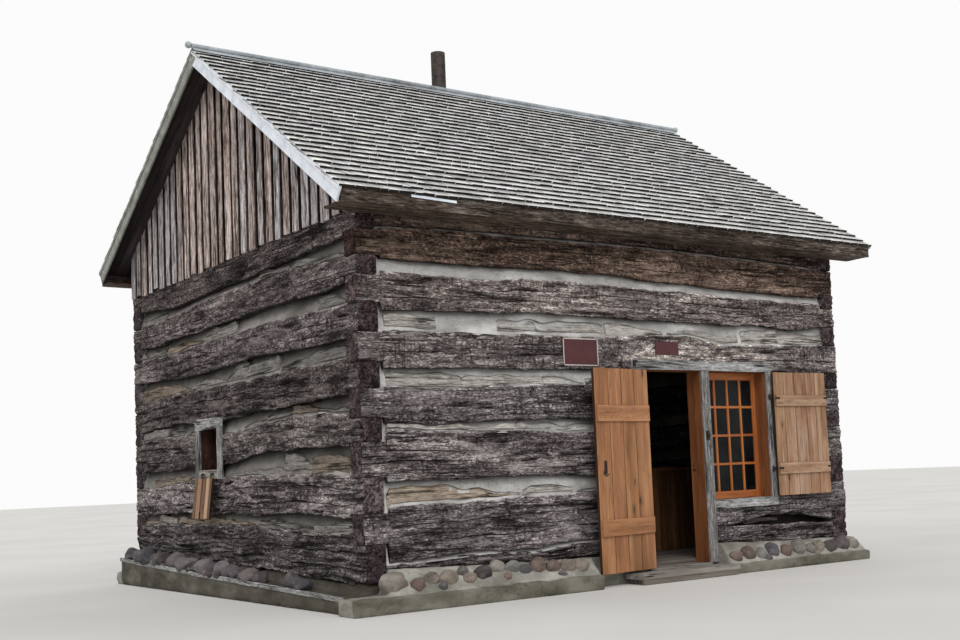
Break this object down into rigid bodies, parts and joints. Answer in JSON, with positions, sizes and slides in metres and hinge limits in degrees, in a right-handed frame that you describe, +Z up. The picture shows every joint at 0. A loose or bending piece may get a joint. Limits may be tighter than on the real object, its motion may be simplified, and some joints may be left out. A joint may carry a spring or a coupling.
{
  "type": "log cabin",
  "caption": "Small gabled cabin of hewn logs with mortar chinking, a shingle roof, stovepipe, open plank door, shuttered sash window and a gable hatch, on a fieldstone footing.",
  "frame": {"origin": "middle of the roof's plan at ground level", "axes": "+Z up; +X along the front wall and the ridge, to the right seen from the front; +Y from the front wall with the door to the back wall"},
  "size_m": [6.6308, 5.997, 5.918],
  "materials": {
    "hewn_log": "rough hewn, weathered",
    "mortar": "rough trowelled lime mortar",
    "fieldstone": "fieldstones in mortar over a cast curb",
    "floor_board": "worn boards",
    "step_plank": "grey weathered plank",
    "door_board": "oiled boards",
    "shutter_board": "oiled knotty boards",
    "iron": "black forged iron",
    "grey_board": "weathered grey board",
    "lining_board": "oiled boards",
    "sash_wood": "varnished",
    "glass": "old window glass",
    "shingle": "weathered wooden shingles",
    "eave_board": "brown weathered boards",
    "barge_board": "worn pale grey paint",
    "ridge_metal": "grey blue sheet metal",
    "pipe_metal": "rusted dark stovepipe",
    "gable_board": "rough weathered boards",
    "barrier_board": "dark boards",
    "plate": "maroon paint"
  },
  "bodies": {
    "cabin": {"front_logs_upper": "hewn_log", "front_logs_left": "hewn_log", "front_logs_right": "hewn_log", "front_logs_low_right": "hewn_log", "left_logs_upper": "hewn_log", "left_logs_middle": "hewn_log", "left_logs_lower": "hewn_log", "back_logs": "hewn_log", "right_logs": "hewn_log", "chinking": "mortar", "front_foundation_left": "fieldstone", "front_foundation_right": "fieldstone", "doorway_foundation": "fieldstone", "left_foundation": "fieldstone", "back_foundation": "fieldstone", "right_foundation": "fieldstone", "floor_boards": "floor_board", "door_threshold": "step_plank", "door_step": "step_plank", "hinge_pins": "iron", "left_casing": "grey_board", "middle_post": "grey_board", "right_casing": "grey_board", "lintel_board": "grey_board", "window_sill": "grey_board", "reveal_linings": "lining_board", "window_sash": "sash_wood", "window_glass": "glass", "gable_window_frame": "grey_board", "front_roof": "shingle", "back_roof": "shingle", "left_barge_boards": "barge_board", "right_barge_boards": "barge_board", "front_eave_boards": "eave_board", "back_eave_boards": "eave_board", "ridge_cap": "ridge_metal", "stovepipe": "pipe_metal", "left_gable_siding": "gable_board", "right_gable_siding": "gable_board", "entry_barrier": "barrier_board", "sign_plates": "plate"},
    "door": {"door_leaf": "door_board", "door_irons": "iron"},
    "shutter": {"shutter_leaf": "shutter_board", "shutter_irons": "iron"},
    "flap": {"gable_flap": "door_board"}
  },
  "joints": [
    {"name": "front_door_hinge", "type": "hinge", "parent": "cabin", "child": "door", "pos_m": [0.1045, -2.6935, 1], "axis": [0, 0, 1], "range_deg": [-6, 172]},
    {"name": "shutter_hinge", "type": "hinge", "parent": "cabin", "child": "shutter", "pos_m": [1.8195, -2.6935, 1.35], "axis": [0, 0, 1], "range_deg": [-180, 0]},
    {"name": "gable_flap_hinge", "type": "hinge", "parent": "cabin", "child": "flap", "pos_m": [-2.9835, 0.5015, 1.19], "axis": [0, 1, 0], "range_deg": [0, 173.5]}
  ]
}
